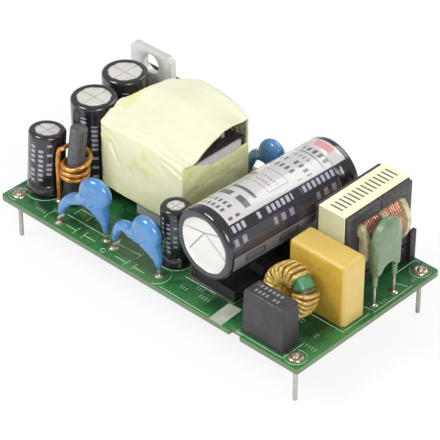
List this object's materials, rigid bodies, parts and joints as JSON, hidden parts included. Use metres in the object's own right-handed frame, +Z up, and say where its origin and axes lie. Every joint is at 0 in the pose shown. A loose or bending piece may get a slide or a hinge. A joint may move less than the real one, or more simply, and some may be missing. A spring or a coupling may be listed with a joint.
{
  "type": "open frame power supply",
  "caption": "Small printed circuit board on solder pins that turns mains into low direct voltage, with a taped transformer, capacitors, chokes and a bare tab rectifier",
  "frame": {"origin": "on the ground under the middle of the board, at the tips of the four board pins", "axes": "X runs along the board's long edge from the output end to the mains end, Y runs across the board from the edge seen in front in the picture to the back edge, Z is up from the pin tips through the board"},
  "size_m": [0.07, 0.036, 0.0291],
  "materials": {
    "board": "green solder mask over glass epoxy, satin",
    "pin_metal": "tinned wire, dull silver",
    "solder": "solidified solder, smooth",
    "lead_wire": "tinned copper wire",
    "can_aluminium": "drawn aluminium, matt",
    "bulk_can": "aluminium can end, white print on the vent disc",
    "cap_sleeve": "black shrink sleeve, glossy, pale print",
    "bulk_sleeve": "black shrink sleeve with a white printed field",
    "bung_rubber": "moulded rubber",
    "ferrite": "sintered ferrite, dull dark grey",
    "bobbin_black": "moulded phenolic, matt",
    "bobbin_grey": "moulded, light grey",
    "bobbin_beige": "moulded, beige",
    "winding_tape": "dark tape over the winding",
    "tape": "cream polyester tape, soft sheen",
    "printed_tape": "cream tape with plain dark bars",
    "copper_wire": "enamelled copper wire",
    "toroid_core": "coated core, green",
    "toroid_wire": "enamelled wire, golden",
    "yellow_case": "moulded box case, yellow",
    "fuse_case": "moulded box case, dark grey",
    "green_coating": "dipped coating, sage green",
    "blue_coating": "dipped coating, sky blue, glossy",
    "moulded_black": "moulded epoxy, fine matt",
    "tab_metal": "tinned copper tab, dull",
    "pad": "silicone insulating pad, light grey",
    "resistor_body": "painted ceramic body, beige with plain bands",
    "chip_black": "chip resistor, black film",
    "chip_tan": "ceramic chip, tan"
  },
  "bodies": {
    "root": {"circuit_board": "board", "board_pins": "pin_metal", "solder_joints": "solder", "bulk_capacitor_can": "bulk_can", "bulk_capacitor_sleeve": "bulk_sleeve", "bulk_capacitor_bung": "bung_rubber", "bulk_capacitor_leads": "lead_wire", "switch_transistor_pad": "pad", "switch_transistor_body": "moulded_black", "switch_transistor_leads": "lead_wire", "rod_choke_core": "ferrite", "rod_choke_tube": "bobbin_black", "rod_choke_coil": "copper_wire", "transformer_core_front": "ferrite", "transformer_core_rear": "ferrite", "transformer_bobbin": "bobbin_grey", "transformer_winding": "winding_tape", "transformer_wrap": "tape", "transformer_edge_strip": "bobbin_grey", "transformer_cover_tape": "tape", "line_filter_core_front": "ferrite", "line_filter_core_rear": "ferrite", "line_filter_bobbin": "bobbin_beige", "line_filter_front_winding": "copper_wire", "line_filter_rear_winding": "copper_wire", "line_filter_tape": "printed_tape", "line_filter_base": "bobbin_black", "toroid_core": "toroid_core", "toroid_winding": "toroid_wire", "toroid_leads": "lead_wire", "x_capacitor": "yellow_case", "fuse": "fuse_case", "thermistor_body": "green_coating", "thermistor_leads": "lead_wire", "rectifier_tab": "tab_metal", "rectifier_body": "moulded_black", "rectifier_leads": "lead_wire", "axial_resistor_body": "resistor_body", "axial_resistor_leads": "lead_wire", "chip_legs": "lead_wire", "chip_resistors": "chip_black", "chip_capacitors": "chip_tan", "small_capacitor_can": "can_aluminium", "small_capacitor_sleeve": "cap_sleeve", "front_output_capacitor_can": "can_aluminium", "front_output_capacitor_sleeve": "cap_sleeve", "rear_output_capacitor_can": "can_aluminium", "rear_output_capacitor_sleeve": "cap_sleeve", "supply_capacitor_can": "can_aluminium", "supply_capacitor_sleeve": "cap_sleeve", "output_bridge_capacitor_body": "blue_coating", "output_bridge_capacitor_leads": "lead_wire", "input_bridge_capacitor_body": "blue_coating", "input_bridge_capacitor_leads": "lead_wire", "rear_bridge_capacitor_body": "blue_coating", "rear_bridge_capacitor_leads": "lead_wire", "bridge_rectifier": "moulded_black", "controller_chip": "moulded_black", "optocoupler": "moulded_black", "clamp_diode": "moulded_black"}
  },
  "joints": []
}
